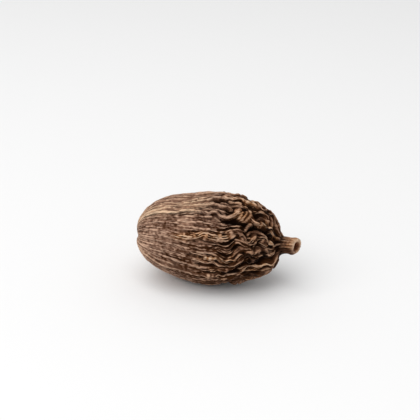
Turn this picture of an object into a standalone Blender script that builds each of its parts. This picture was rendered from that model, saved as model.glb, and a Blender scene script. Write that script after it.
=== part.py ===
"""A dried black cardamom pod, lying on its side: one closed solid.

The pod is a turned body whose long axis runs along X, blunt end at -X and neck at +X. Ribs run from
the blunt end to the neck, and buckle sideways as they crowd together on the shoulder. Three valves
meet in shallow seams. The neck leans towards -Y and ends in a short hollow stub. The underside is
pressed flat where the pod rests on the plane Z = 0.

Blender 4.5. Metres, +Z up, origin on the floor under the middle of the pod's length.
"""

import math

import bmesh
import bpy
from mathutils import Matrix, Vector

MM = 0.001

# The outline from the dimple of the blunt end to the bottom of the stub's hollow:
# the distance along the axis and the radius, in millimetres.
OUTLINE_MM = (
    (0.55, 0.0),
    (0.30, 0.9),
    (0.00, 2.3),
    (0.55, 4.2),
    (2.0, 6.1),
    (4.2, 7.7),
    (7.0, 9.1),
    (10.5, 10.2),
    (14.0, 10.85),
    (17.5, 11.05),
    (21.0, 10.65),
    (24.5, 9.85),
    (27.5, 8.7),
    (30.0, 7.2),
    (31.8, 5.6),
    (32.9, 4.0),
    (33.6, 2.7),
    (34.6, 1.95),
    (36.2, 1.7),
    (37.6, 1.8),
    (38.1, 1.6),
    (38.2, 1.25),
    (37.9, 0.95),
    (37.0, 0.8),
    (36.5, 0.0),
)
ROW_LENGTH = 0.9 * MM  # of the faces, along the outline
COLUMNS_PER_RIB = 4

LENGTH = 38.2 * MM
AXIS_HEIGHT = 10.4 * MM  # of the pod's axis over the floor, at the widest station
WIDEST_AT = 17.5 * MM
NOSE_DOWN = math.radians(0.8)  # the axis falls by this towards the neck
BELLY_SHARE = 0.975  # the underside lies this much closer to the axis than the outline says

# Ribs
RIBS = 24
RIB_HEIGHT = 0.22 * MM  # of a crest over the plain body, and the depth of a furrow under it
RIB_START, RIB_FULL = 1.5 * MM, 12.0 * MM  # ribs fade in over this stretch
BUCKLE_START, BUCKLE_FULL = 16.0 * MM, 29.0 * MM  # ribs turn wavy over this stretch
BUCKLE_ANGLE = math.radians(4.0)  # how far a rib swings to each side
BUCKLE_PITCH = 3.4 * MM  # length of one wave of a rib
SHOULDER_RIB_GAIN = 2.0  # ribs stand this much higher where they buckle
NECK_AT = 33.5 * MM  # ribs shrink to fine fibres from here on
NECK_RIB_SHARE = 0.22

# Valves: three rounded lobes with a seam between each two, as angles round the axis from +Y to +Z
SEAM_ANGLES = (math.radians(121), math.radians(216), math.radians(350))
SEAM_DEPTH = 0.35 * MM
SEAM_HALF_WIDTH = math.radians(7)

# Past the shoulder the neck leans towards -Y and lifts a little
LEAN_START = 31.0 * MM
LEAN_ANGLE = math.radians(17)
LIFT_ANGLE = math.radians(6)

# The flat spot: ribs die away round it, and what would reach below the floor is pressed up to it
SPOT_CENTRE = Vector((-3.0 * MM, 0.0))
SPOT_FADE = 5.5 * MM


def smooth_ramp(value, low, high):
    """0 below low, 1 above high, and a smooth rise between them."""
    share = min(1.0, max(0.0, (value - low) / (high - low)))
    return share * share * (3.0 - 2.0 * share)


def curve_through(points, spacing):
    """A Catmull-Rom curve through the points, as a list of points about that far apart."""
    ends = [2 * points[0] - points[1], *points, 2 * points[-1] - points[-2]]
    curve = [points[0]]
    for before, start, end, after in zip(ends, ends[1:], ends[2:], ends[3:]):
        steps = max(1, round((end - start).length / spacing))
        for step in range(1, steps + 1):
            t = step / steps
            curve.append(
                0.5
                * (
                    2 * start
                    + (end - before) * t
                    + (2 * before - 5 * start + 4 * end - after) * t**2
                    + (3 * start - before - 3 * end + after) * t**3
                )
            )
    return curve


def outline():
    """The turned outline as points (distance along the axis, 0, radius) in metres."""
    points = [Vector((along, 0.0, radius)) * MM for along, radius in OUTLINE_MM]
    curve = curve_through(points, ROW_LENGTH)
    return [Vector((p.x, 0.0, max(0.0, p.z))) for p in curve]


def turned_body():
    """The plain turned body, as a bmesh with its blunt end at X = 0 and its axis on X."""
    body = bmesh.new()
    vertices = [body.verts.new(point) for point in outline()]
    edges = [body.edges.new(pair) for pair in zip(vertices, vertices[1:])]
    bmesh.ops.spin(
        body,
        geom=vertices + edges,
        cent=(0, 0, 0),
        axis=(1, 0, 0),
        angle=2 * math.pi,
        steps=RIBS * COLUMNS_PER_RIB,
        use_merge=True,
    )
    bmesh.ops.remove_doubles(body, verts=body.verts, dist=0.001 * MM)
    return body


def neck_share(along):
    """0 on the body and 1 on the neck."""
    return smooth_ramp(along, NECK_AT - 1.5 * MM, NECK_AT)


def rib_relief(along, angle):
    """How far the ribs lift the surface at this place."""
    height = RIB_HEIGHT * smooth_ramp(along, RIB_START, RIB_FULL)
    height *= 1 + (SHOULDER_RIB_GAIN - 1) * smooth_ramp(along, BUCKLE_START, BUCKLE_FULL)
    height *= 1 + (NECK_RIB_SHARE - 1) * neck_share(along)
    return height * math.cos(RIBS * angle)


def rib_swing(along, angle):
    """How far a rib has swung round the axis at this place."""
    buckle = smooth_ramp(along, BUCKLE_START, BUCKLE_FULL) * (1 - neck_share(along))
    # Neighbours swing a little out of step, as the phase turns twice round the pod.
    phase = 2 * math.pi * along / BUCKLE_PITCH + 2 * angle + math.sin(5 * angle)
    return BUCKLE_ANGLE * buckle * math.sin(phase)


def seam_relief(along, angle):
    """How far the nearest seam between two valves sinks the surface at this place."""
    fade = smooth_ramp(along, 0.0, 2 * MM) * (1 - smooth_ramp(along, 24 * MM, 31 * MM))
    deepest = 0.0
    for seam in SEAM_ANGLES:
        away = abs(math.remainder(angle - seam, 2 * math.pi)) / SEAM_HALF_WIDTH
        deepest = max(deepest, math.exp(-(away**2)))
    return -SEAM_DEPTH * fade * deepest


def bend_share(along):
    """0 up to the shoulder, rising to 1 at the stub's rim."""
    return smooth_ramp(along, LEAN_START, LENGTH)


def axis_point(along):
    """The point of the pod's axis at this distance from the blunt end."""
    bent = max(0.0, along - LEAN_START) * bend_share(along)
    return Vector(
        (
            along - LENGTH / 2,
            -bent * math.tan(LEAN_ANGLE),
            AXIS_HEIGHT - math.tan(NOSE_DOWN) * (along - WIDEST_AT) + bent * math.tan(LIFT_ANGLE),
        )
    )


def shape_surface(body):
    """Moves each point of the turned body to its place on the ribbed, leaning, resting pod."""
    for vertex in body.verts:
        along = vertex.co.x
        spoke = Vector((0.0, vertex.co.y, vertex.co.z))
        radius = spoke.length
        centre = axis_point(along)
        if radius < 0.01 * MM:
            vertex.co = centre
            continue
        angle = math.atan2(spoke.z, spoke.y)
        spoke *= 1 - (1 - BELLY_SHARE) * max(0.0, -math.sin(angle))
        plain = centre + spoke
        near_spot = (plain.xy - SPOT_CENTRE).length
        loose = 1.0 if plain.z > AXIS_HEIGHT else smooth_ramp(near_spot, 0.0, SPOT_FADE)
        relief = rib_relief(along, angle) * loose + seam_relief(along, angle)
        # Near the axis the relief shrinks with the radius, so that the surface can't cross itself.
        relief *= min(1.0, radius / (2 * MM))
        swing = Matrix.Rotation(rib_swing(along, angle), 3, "X")
        lean = Matrix.Rotation(-LEAN_ANGLE * bend_share(along), 3, "Z")
        vertex.co = centre + lean @ swing @ (spoke * (1 + relief / radius))
        vertex.co.z = max(0.0, vertex.co.z)


def husk_material():
    """Dull dark brown husk."""
    material = bpy.data.materials.new("dried_husk")
    material.use_nodes = True
    shader = material.node_tree.nodes["Principled BSDF"]
    shader.inputs["Base Color"].default_value = (0.085, 0.045, 0.028, 1.0)
    shader.inputs["Roughness"].default_value = 0.72
    shader.inputs["Metallic"].default_value = 0.0
    return material


def cardamom_pod():
    """The pod as one object."""
    body = turned_body()
    shape_surface(body)
    bmesh.ops.recalc_face_normals(body, faces=body.faces)
    mesh = bpy.data.meshes.new("cardamom_pod")
    body.to_mesh(mesh)
    body.free()
    mesh.shade_smooth()
    mesh.materials.append(husk_material())
    return bpy.data.objects.new("cardamom_pod", mesh)


def main():
    for leftover in list(bpy.data.objects):
        bpy.data.objects.remove(leftover)
    pod_parts = bpy.data.collections.new("black_cardamom_pod")
    bpy.context.scene.collection.children.link(pod_parts)
    pod_parts.objects.link(cardamom_pod())


main()
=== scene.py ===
"""A dried black cardamom pod, lying on its side on a pale studio floor.

The husk is one closed mesh, spun from the pod's outline and then pushed into shape: ridges run from
the blunt end to the neck, each with its own wandering path, and stand up as thin wavy fins on the
shoulder. Fine ribs and creases lie between them. Places on the pod are given as the distance along
its axis from the blunt end, in millimetres, and the angle round it from +Y towards +Z, in degrees.
"""

import itertools
import math

import bmesh
import bpy
import numpy as np
from bpy.props import FloatProperty, FloatVectorProperty, PointerProperty
from mathutils import Matrix, Vector


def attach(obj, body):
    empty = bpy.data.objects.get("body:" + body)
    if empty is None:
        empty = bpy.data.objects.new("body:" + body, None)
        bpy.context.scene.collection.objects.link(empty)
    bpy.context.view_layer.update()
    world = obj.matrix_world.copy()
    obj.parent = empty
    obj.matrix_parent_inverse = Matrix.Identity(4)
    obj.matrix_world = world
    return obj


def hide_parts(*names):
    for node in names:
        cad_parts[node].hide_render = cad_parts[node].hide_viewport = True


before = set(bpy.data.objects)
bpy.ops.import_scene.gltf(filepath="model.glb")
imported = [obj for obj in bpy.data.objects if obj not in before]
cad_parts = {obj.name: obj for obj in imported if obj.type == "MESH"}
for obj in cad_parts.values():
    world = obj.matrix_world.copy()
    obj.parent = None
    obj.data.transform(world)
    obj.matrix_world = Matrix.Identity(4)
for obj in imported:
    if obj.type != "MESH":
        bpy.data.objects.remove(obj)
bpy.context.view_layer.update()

bl_info = {
    "name": "Black cardamom pod",
    "version": (1, 0, 0),
    "blender": (4, 5, 0),
    "location": "3D View > Sidebar > Cardamom",
    "description": "Models a dried black cardamom pod and the studio it lies in",
    "category": "Object",
}

MM = 0.001
POD_NODE = "cardamom_pod"

# The outline from the dimple of the blunt end to the bottom of the stub's hollow:
# the distance along the axis and the radius, in millimetres.
OUTLINE_MM = (
    (0.55, 0), (0.3, 0.9), (0, 2.3), (0.55, 4.2), (2, 6.1), (4.2, 7.7), (7, 9.1), (10.5, 10.2),
    (14, 10.85), (17.5, 11.05), (21, 10.65), (24.5, 9.85), (27.5, 8.7), (30, 7.2), (31.8, 5.6),
    (32.9, 4), (33.6, 2.7), (34.6, 2.1), (36.2, 1.9), (37.3, 2.05), (37.9, 1.95), (38.2, 1.6),
    (38.05, 1.12), (37.6, 0.88), (37.1, 0.68), (36.9, 0),
)
LENGTH = 38.2
AXIS_HEIGHT = 10.4
WIDEST_AT = 17.5
NOSE_DOWN = math.radians(0.8)
BELLY_SHARE = 0.975
LEAN_START = 31.0
LEAN_ANGLE = math.radians(17)
END_TURN = math.radians(31)  # the stub's end is cut slantwise and faces the near side
CUT_BACK = 0.6
LIFT_ANGLE = math.radians(7.5)
RIM_WIDTH = 0.55  # how far the stub's rounded rim reaches
GROUND_SOFTNESS = 0.25
FAR_OFF = 99.0  # a distance at which nothing reaches

# Things that come in from one station to another
GROWN = 9.0, 27.0  # the shoulder's relief
CALM = 29.0, 34.0  # the end of the ridges' waving
NECK = 32.5, 35.5
FIBRES = 31.5, 35.0
STUB = 33.0, 36.4
TORN = 36.2, 38.0  # the stub's uneven edge
MOUTH = 37.6, 38.15  # the stub's wall is dark below these
RIDGES_FULL = 26.0  # where the ridges reach their full height
EVEN_END, ODD_END = 36.6, 32.5  # every other ridge ends before the neck: there is no room for all
FADE = 0.5, 6.0  # the relief comes in from the axis between these radii

# The mesh
COLUMNS_PER_RIDGE = 20
ROWS = 184
CROWDING = 0.35  # how much closer the columns lie at a ridge than halfway between two

# The ridges that the camera sees, from the top of the pod down its near side: the path of each
# as (distance along, angle), then its shares of height, of waving and of width.
NEAR_RIDGES = (
    (((0, 62), (10, 70), (22, 66), (30, 64), (38, 66)), 0.45, 0.7, 1),
    (((0, 84), (6, 84), (16, 84), (24, 80), (30, 79), (38, 80)), 0.55, 0.7, 1.1),
    (((0, 99), (7, 101), (11, 106), (16, 103), (21, 96), (26, 94), (30, 93), (38, 96)), 1, 0.6,
      1.2),
    (((0, 106), (5, 108), (12, 112), (18, 109), (21, 111), (25, 106), (28, 108), (38, 110)), 0.8,
      0.3, 0.9),
    (((0, 115), (2, 116), (4, 117.5), (7, 120), (10.2, 122.5), (11.2, 120.8), (13.5, 121),
      (17.3, 122), (18.4, 120.5), (19.2, 119.3), (19.9, 121), (21, 123.7), (22.6, 122.5), (24, 117),
      (26, 117), (28, 121), (31, 118), (33, 124), (38, 124)), 1, 0.05, 1.3),
    (((0, 124), (8, 128), (14, 131), (19, 131), (22, 133), (25, 126), (28, 127), (38, 131)), 0.25,
      0.2, 0.7),
    (((0, 133), (8, 137), (14, 141), (20, 141), (24, 135), (28, 135), (38, 140)), 0.35, 0.3, 0.8),
    (((0, 146), (8, 150), (13, 154), (17, 149), (21, 152), (22.8, 148), (24.2, 142), (25.6, 148),
      (27, 153), (28.8, 145), (30, 145), (31.4, 153), (38, 153)), 1.1, 0.1, 2.1),
    (((0, 153), (8, 156), (15, 161), (19, 162), (22.5, 164), (24.5, 158), (27, 162), (29, 156),
      (31, 160), (38, 161)), 0.4, 0.2, 0.9),
    (((0, 162), (8, 163), (15, 170), (19, 172), (22.5, 179), (25.3, 168), (28, 166), (31, 168),
      (38, 169)), 1.05, 0.2, 1.6),
    (((0, 173), (8, 173), (16, 180), (21.7, 186), (24.8, 180), (27, 174), (29, 177), (38, 181)),
      0.9, 0.3, 1.1),
    (((0, 181), (8, 183), (16, 189), (22.5, 194), (25, 188), (28, 185), (31, 187), (38, 194)), 0.9,
      0.4, 1.2),
    (((0, 190), (2, 192), (4.2, 195), (6.5, 198), (9, 201), (14, 203), (20, 202), (24, 204),
      (27, 199), (30, 202), (38, 208)), 0.9, 0.5, 1),
    (((0, 206), (3, 207), (8, 210), (14, 212), (21, 211), (26, 214), (30, 219), (38, 220)), 0.7,
      0.5, 1.2),
    (((0, 222), (6, 222), (14, 225), (20, 224), (26, 228), (30, 232), (38, 234)), 0.5, 0.6, 1),
)
FAR_RIDGES = 12  # the ones that go on round the hidden side to the first again
FAR_WANDER = 5.0  # degrees
RIDGE_COUNT = len(NEAR_RIDGES) + FAR_RIDGES
COLUMNS = RIDGE_COUNT * COLUMNS_PER_RIDGE

# Valves overlap at a seam: the ridge there is a lip with a groove beneath it, up to this station
LIPS = {4: 20.0, 12: 10.0, 22: 18.0}
LIP_REACH = {4: 4.0, 12: 1.0, 22: 2.0}  # how far the lip's swell reaches back over its valve

RIDGE_GAP = 0.5  # neighbouring ridges keep at least this far apart on the shoulder, in millimetres
PUSHES = 12  # how often ridges that are too close are pushed apart
STRANDS_PER_GAP = 3  # thin strands between two ridges
STRAND_WIDTH = 0.17  # in millimetres
NECK_STRANDS = 17  # broader strands round the neck

# How far the crest of a ridge hangs over the side below it, in millimetres
OVERHANGS = {2: 0.25, 3: 0.3, 4: 0.4, 7: 0.35, 8: 0.2, 9: 0.4, 10: 0.25, 11: 0.25, 12: 0.3, 13: 0.3}

# Ridges whose crest is worn to a thin light line, partly a painted highlight with a painted shadow
# below: where the line starts, and how strong it is
WORN_AND_LIT_RIDGES = {
    2: (12.0, 0.7), 3: (8.0, 0.4), 4: (2.0, 1.0), 5: (14.0, 0.3), 7: (22.0, 0.5), 9: (17.0, 0.9),
    10: (18.0, 0.8), 11: (12.0, 0.6), 12: (1.0, 0.9), 13: (5.0, 1.0), 14: (10.0, 0.6),
    19: (14.0, 0.7), 22: (3.0, 1.0), 25: (10.0, 0.7),
}
WORN_AND_LIT_WIDTH = 0.15  # in millimetres

# Where the husk bulges or caves in: distance along, angle, half length, half width in degrees,
# and height in millimetres
SWELLS = (
    (5.5, 85, 5, 32, 0.65), (1.2, 160, 2, 16, -0.5), (8, 226, 8, 26, -0.85),
    (21.5, 82, 5, 30, 1.15), (28, 84, 3.5, 32, 0.95), (31, 95, 2, 40, 0.55),
    (31.6, 218, 2.2, 22, 1.35), (33.4, 214, 1.3, 26, 1.2), (30.2, 266, 2.4, 24, -0.6),
    (24, 262, 4, 20, -0.3), (27, 297, 1.5, 6, -0.9),
)
# Where the husk caves in, in the same form with the depth in millimetres; the material also paints shade
# into these hollows.
HOLLOWS = (
    (23, 129, 1.9, 3.6, 0.85), (28.2, 132, 2.4, 7, 1.4), (31, 133, 1.2, 8, 1.2),
    (28.6, 88, 1, 4, 0.7), (28.2, 110, 1.1, 4, 0.6), (31.8, 157, 0.8, 7, 0.8),
    (24.8, 164.5, 1.5, 3, 0.6), (27, 188, 2.4, 4.5, 1.1), (29, 193, 2, 5, 0.9),
    (30.4, 182, 1.4, 6, 1), (30.3, 168, 0.7, 4, 0.5), (32.8, 124, 0.8, 9, 0.5),
    (32, 107, 0.8, 4, 0.4), (21.9, 101, 2, 2.5, 0.6), (25, 68, 1.6, 3, 0.6),
    (25.6, 105, 1.4, 2.5, 0.3), (24, 200, 2, 4, 0.5), (27, 240, 2.4, 6, 0.7), (29, 282, 2, 9, 0.4),
    (26, 330, 2.2, 6, 0.7), (29, 20, 2, 7, 0.8), (23, 40, 2, 5, 0.6),
)

# Single ropes that cross the ridges on the shoulder: the path of each as (distance along, angle),
# its half width, and how high its crest lies over the outline, in millimetres
ROPES = (
    (((24.6, 86), (25.9, 91), (27.3, 93.5), (28.3, 95.5), (30, 97.5), (30.9, 101), (31.6, 108),
      (31.6, 119), (31.7, 126), (32.3, 128), (33.3, 124), (34.2, 115), (35.4, 103)), 0.34, 0.45),
    (((26.5, 66), (28.5, 66), (30.5, 68), (32, 70), (33.2, 75), (34.5, 80), (37, 85)), 0.35, 0.3),
    (((31.2, 96), (32.3, 91), (32.8, 95), (33.4, 96), (34.4, 100)), 0.28, 0.35),
    (((30, 72), (29.5, 92), (28.9, 104)), 0.28, 0.3),
    (((27.8, 119), (28.6, 113.5), (29.4, 112.5), (30.1, 111.5), (31, 106)), 0.28, 0.4),
    (((26.9, 147), (27.3, 141.5), (28.1, 138), (29.1, 137), (30, 140), (30.4, 145), (29.9, 150)),
      0.36, 0.75),
    (((27.4, 155), (27.5, 150.5), (28.1, 146.5), (28.9, 142.5)), 0.28, 0.7),
    (((23.9, 152.5), (24.6, 154), (25.8, 155.5), (26.9, 157), (28, 156.5), (28.7, 153),
      (29.1, 147)), 0.27, 0.5),
    (((23.3, 141.5), (24.4, 140), (25.2, 143), (25.8, 146), (26.4, 150), (26.9, 154)), 0.3, 0.65),
    (((24.1, 158), (24.8, 157), (25.3, 159), (25.9, 160), (27.5, 161)), 0.28, 0.25),
    (((23.4, 174), (24.1, 170), (24.7, 167), (25.3, 164), (26.1, 162.5), (27, 162), (27.7, 165),
      (28.3, 170), (28.6, 175)), 0.3, 0.5),
    (((24.2, 180), (25.3, 175), (26.5, 170.5)), 0.28, 0.4),
    (((26.4, 173), (27.3, 178), (27.9, 182), (28.6, 182), (29.3, 180.5), (29.9, 176.5),
      (30.5, 172)), 0.27, 0.45),
    (((29.3, 152.5), (30.1, 157.5), (31, 160.5)), 0.28, 0.35),
    (((30.8, 142), (30.6, 148), (31, 152), (31.7, 149), (32.4, 151.5), (33, 158)), 0.28, 0.4),
    (((31.7, 179), (31.2, 170), (30.8, 161)), 0.28, 0.35),
    (((36, 192), (34.6, 198), (33.4, 200), (32.6, 203), (32, 210), (31.4, 219)), 0.3, 0.25),
    (((35.6, 212), (34, 217), (33, 221), (32, 226)), 0.3, 0.15),
    (((33, 157), (34.3, 151), (36, 145)), 0.28, 0.3),
    (((27.3, 126), (26.8, 133), (26.3, 141)), 0.28, 0.35),
    (((15.5, 122.3), (17.2, 122.5), (18.4, 121), (19.1, 120), (19.6, 120.8), (20.2, 122.3),
      (21.1, 123.5), (22, 122.6), (22.8, 120), (23.3, 116.5), (23.5, 113), (23.8, 109.5),
      (24.3, 108.5)), 0.28, 0.75),
    (((18.6, 115.5), (19.8, 116), (20.8, 117.5), (22, 116)), 0.28, 0.4),
    (((16.4, 110), (17.9, 108), (18.8, 108), (20, 109.5), (21.1, 110.5), (22.3, 111), (22.9, 112)),
      0.27, 0.5),
    (((15.5, 102), (17.6, 99.5), (18.8, 98.5), (19.7, 96.5), (20.7, 93), (21.7, 92), (22.5, 93),
      (23.5, 89), (24.8, 90)), 0.32, 0.5),
    (((20.1, 104), (21.3, 106.5), (22.6, 107), (23.9, 104.5), (24.9, 105.5)), 0.28, 0.35),
    (((21.2, 98.5), (22.3, 100.5), (23.2, 100), (24.6, 96.5)), 0.28, 0.3),
    (((23.4, 81), (24.2, 82.5), (25.2, 86)), 0.3, 0.45),
    (((18.7, 76), (19.8, 73), (21.6, 71), (23.8, 68), (25.4, 66)), 0.3, -0.1),
    (((12.4, 100.5), (13.4, 100.5), (14.3, 97.5), (15.2, 97), (16.3, 97.5), (17.1, 94.5),
      (18.2, 92)), 0.28, 0.3),
)
ROPE_DEPTH = 1.5  # how far a rope's edge lies under its crest, in half widths
ROPE_SUNK = 0.12  # how much lower all ropes lie than the heights above
FAR_ROPES = 16  # more of them, strewn over the shoulder's hidden side

# Pleated lumps: distance along, angle, half length, half width, height over the outline in
# millimetres, how far its pleats slant, and how far apart they are
LUMPS = (
    (25.7, 118, 2.5, 1.6, 0.85, 0.35, 1.15), (23.8, 112, 0.9, 0.9, 0.75, 0.2, 1.6),
    (12.4, 151.5, 1.5, 0.75, 0.35, 0.3, 1.4), (15, 150.5, 1.2, 0.9, 0.4, -0.3, 1.4),
    (17.6, 150.5, 1.4, 1.1, 0.5, 0.4, 1.5), (20.6, 151.5, 1.4, 1.2, 0.55, 0.5, 1.5),
    (23.4, 147, 1.5, 1.2, 0.55, -0.4, 1.7), (25.6, 151.5, 1.3, 1.1, 0.5, 0.4, 1.5),
    (28.4, 145.5, 1.1, 1.3, 0.6, 0.5, 2), (30.1, 146.5, 0.9, 1.2, 0.6, 0.5, 1.8),
    (31.1, 82, 1.3, 1.1, 0.2, 0.3, 1.2), (18.6, 176, 2.4, 0.9, 0.3, 0.3, 1.2),
    (24, 300, 2, 1.2, 0.5, 0.3, 1.2), (26.5, 20, 1.6, 1.3, 0.55, -0.3, 1.3),
    (20, 345, 2.2, 1, 0.35, 0.3, 1.3),
)

# Patches of colour: distance along, angle, half length, half width in degrees, strength
PALE_PATCHES = (
    (6, 100, 9, 20, 1), (3.5, 108, 5, 8, 0.6), (15, 108, 5, 12, 0.6), (4, 194, 6, 6, 0.5),
    (2, 195, 3, 14, 0.4), (11, 202, 3, 4, 0.2), (14, 60, 8, 12, 0.35), (3, 330, 8, 30, 0.7),
)
OCHRE_PATCHES = (
    (12.3, 153, 2.2, 4, 1), (16.3, 149, 2, 4, 1), (19.2, 151, 1.4, 4, 0.6),
    (21.6, 149, 1.5, 4, 0.8), (25, 118, 1.8, 7, 1), (28.6, 147, 1.4, 6, 0.5),
    (18.6, 176, 2.6, 4, 0.8), (23.2, 176, 1.6, 5, 0.5), (28.6, 204, 2.2, 6, 0.7),
    (31.6, 152, 0.9, 9, 0.8), (24, 96, 3, 5, 0.6), (30.5, 120, 2, 6, 0.6), (2.5, 112, 3, 7, 0.45),
    (30.4, 200, 1.6, 7, 0.8), (24.5, 300, 2, 7, 0.8), (26.5, 20, 2, 7, 0.8),
)

# Patches with small knots in place of long creases, in the same form
BEADED_PATCHES = (
    (12, 182, 5.5, 20, 1), (10, 135, 5, 8, 0.6), (15, 30, 6, 22, 0.8), (12, 290, 5.5, 22, 0.9),
)

# Patches of painted light and shade, such as the painted shadow on the stub's lower side, and of lighter
# or darker colour, in the same form: below 0 is darker
SHADE_AND_TONE_PATCHES = (
    (5, 114, 3, 5, 0.6), (2.5, 112, 1.5, 6, 0.3), (2.3, 164, 1.8, 12, 0.4),
    (12.5, 134, 2.5, 7, 0.35), (8.2, 155, 2, 6, 0.2), (15, 186, 1.2, 5, 0.35),
    (20.2, 180, 1.6, 3.5, 0.4), (26.6, 94, 1.6, 5, 0.5), (30.4, 114, 1.2, 6, 0.5),
    (25.9, 198, 1.6, 3, 0.3), (33.4, 155, 1, 14, 0.7), (6, 92, 3.5, 7, -0.95),
    (10, 209, 2.6, 8, -0.45), (13.7, 213, 3, 8, -0.4), (20, 227, 8, 9, -0.3),
    (28.3, 219, 2.5, 8, -0.7), (9.5, 182, 2, 6, -0.25), (7.6, 130, 1.8, 3.5, -0.25),
    (14.3, 165, 1, 4, -0.4), (19.8, 172, 1.6, 3, -0.6), (22.1, 165, 2, 3.5, -0.4),
    (24.7, 164, 1.3, 4, -0.4), (24.5, 141, 1, 4, -0.4), (23.8, 111, 0.8, 3, -0.3),
    (20.7, 105.5, 1.8, 3.5, -0.7), (28.1, 187, 1.8, 6, -0.9), (29, 163, 1, 4, -0.35),
    (36.4, 218, 3, 42, -0.6), (15.3, 148, 1.4, 4, -0.3), (17.8, 150, 1.2, 4, -0.3),
    (19.5, 140, 1.6, 3.5, -0.35), (8.6, 136.5, 2, 4, -0.35), (10.5, 184, 2, 5, -0.2),
    (1.6, 139, 1.4, 8, -0.4), (18.5, 119, 1.6, 2.5, -0.35), (28.1, 137, 1, 5, -0.5),
    (30.2, 118, 1, 6, 0.5), (23.8, 121, 1, 3, 0.5), (25.4, 170, 1.2, 4, 0.5),
    (15, 113, 1.5, 3, 0.5), (16.6, 111, 1.2, 3, 0.5), (17.2, 120, 1.6, 2.6, -1),
    (21.2, 86, 1.4, 6, -0.7), (25.8, 82, 1.6, 6, -0.7), (28.8, 113, 1.2, 5, -0.9),
    (9.8, 197, 2.2, 4, -0.4), (5.5, 196, 1.8, 4, -0.3), (22, 193, 1.5, 4, -0.4),
    (23.6, 109, 1, 3, -0.4), (28.6, 99, 1.2, 4, -0.35), (30.4, 106, 1, 5, -0.35),
    (24.5, 162, 1, 3, -0.3), (9.8, 98, 1.8, 5, -0.35), (15, 131, 1.5, 4, -0.35),
    (26.5, 95, 1.3, 3, 0.4), (12.6, 202, 2, 4, 0.4), (18, 96, 2.6, 4, -0.4),
    (20.2, 184, 1.6, 3, 0.5), (10, 125, 1.8, 3, -0.35), (13.7, 183, 1.4, 4, -0.35),
    (19.8, 126, 1, 3, 0.4), (21.4, 121, 1.8, 3, 0.4), (28.8, 108, 0.9, 3, 0.4),
    (15.4, 184, 1.2, 3, 0.4), (6.6, 187, 1.6, 4, -0.35), (8.1, 127.5, 1.4, 2.5, 0.35),
    (19.6, 172, 1.2, 3, -0.3), (30.2, 158, 1, 4, 0.35), (16.9, 188, 1.2, 3, -0.35),
    (36.3, 206, 1.2, 30, -0.4), (21, 84, 1.2, 5, -0.4), (8.5, 117, 1.2, 3, -0.4),
    (16.5, 150, 6, 4, -0.25), (35.2, 160, 1.6, 40, -0.3), (27, 176, 3.5, 10, -0.25),
    (4, 197, 2, 6, -0.3), (28, 138, 1.2, 5, -0.3), (21.4, 190, 1.6, 4, -0.35),
    (24.8, 142, 1, 3, -0.4), (22, 164, 1.4, 3, -0.3), (25.9, 190, 1.6, 4, -0.4),
    (17.8, 167, 1.4, 4, -0.3), (18, 176, 1.6, 3, 0.4), (8, 111, 1.5, 3, -0.3),
)

LATTICE = 48  # the noise repeats after this many values each way
# What the husk's material reads at each vertex
MASKS = ("crest", "crease_shade", "deep_shade", "pale", "ochre", "neck", "hollow", "shoulder", "tone_and_shade")


def smooth_ramp(value, low, high):
    """0 below low, 1 above high, and a smooth rise between them."""
    share = np.clip((value - low) / (high - low), 0.0, 1.0)
    return share * share * (3.0 - 2.0 * share)


def bell(value):
    """1 at 0, falling smoothly to nothing on both sides."""
    return np.exp(-(value**2))


def lattice_noise(places, seed):
    """Smooth noise from -1 to 1. Places are an array whose last axis holds three coordinates."""
    lattice = np.random.default_rng(seed).uniform(-1.0, 1.0, (LATTICE,) * 3)
    low = np.floor(places).astype(int)
    part = places - low
    part = part * part * (3.0 - 2.0 * part)
    total = np.zeros(places.shape[:-1])
    for corner in itertools.product((0, 1), repeat=3):
        index = (low + corner) % LATTICE
        weight = np.prod(np.where(corner, part, 1.0 - part), axis=-1)
        total += weight * lattice[index[..., 0], index[..., 1], index[..., 2]]
    return total


def crease_noise(places, steepness, seed):
    """Creases along the lines where a noise is 0: -0.8 in their middle and 0.2 beside them."""
    return np.minimum(1.0, steepness * np.abs(lattice_noise(places, seed))) - 0.8


def wander(along, scale, count, seed):
    """For each of count lines, smooth noise from -1 to 1 with a new value about every scale."""
    places = np.zeros((len(along), count, 3))
    places[..., 0] = (along / scale)[:, None]
    places[..., 1] = np.arange(count)
    return lattice_noise(places, seed)


def curve_through(points, steps):
    """A Catmull-Rom curve through the points, with that many steps between each two."""
    points = np.array(points, float)
    ends = np.vstack([2 * points[0] - points[1], points, 2 * points[-1] - points[-2]])
    t = np.arange(steps)[:, None] / steps
    pieces = []
    for before, start, end, after in zip(ends, ends[1:], ends[2:], ends[3:]):
        square = 2 * before - 5 * start + 4 * end - after
        cube = 3 * start - before - 3 * end + after
        pieces.append(0.5 * (2 * start + (end - before) * t + square * t**2 + cube * t**3))
    return np.vstack([*pieces, points[-1:]])


def running_length(points, shares=1.0):
    """The length of the line through the points up to each of them. Shares stretch its steps."""
    steps = np.linalg.norm(np.diff(points, axis=0), axis=1)
    return np.concatenate([[0.0], np.cumsum(steps * shares)])


def outline_rows():
    """The outline as ROWS points (along, radius), closer together where the husk is crumpled."""
    curve = curve_through(OUTLINE_MM, 40)
    curve[:, 1] = np.maximum(curve[:, 1], 0.0)
    middle = 0.5 * (curve[1:, 0] + curve[:-1, 0])
    rows = running_length(curve, 0.72 + 0.28 * smooth_ramp(middle, 9.0, 17.0))
    rows *= (ROWS - 1) / rows[-1]
    outline = np.stack([np.interp(np.arange(ROWS), rows, values) for values in curve.T], axis=1)
    outline[[0, -1], 1] = 0.0
    return outline


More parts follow.
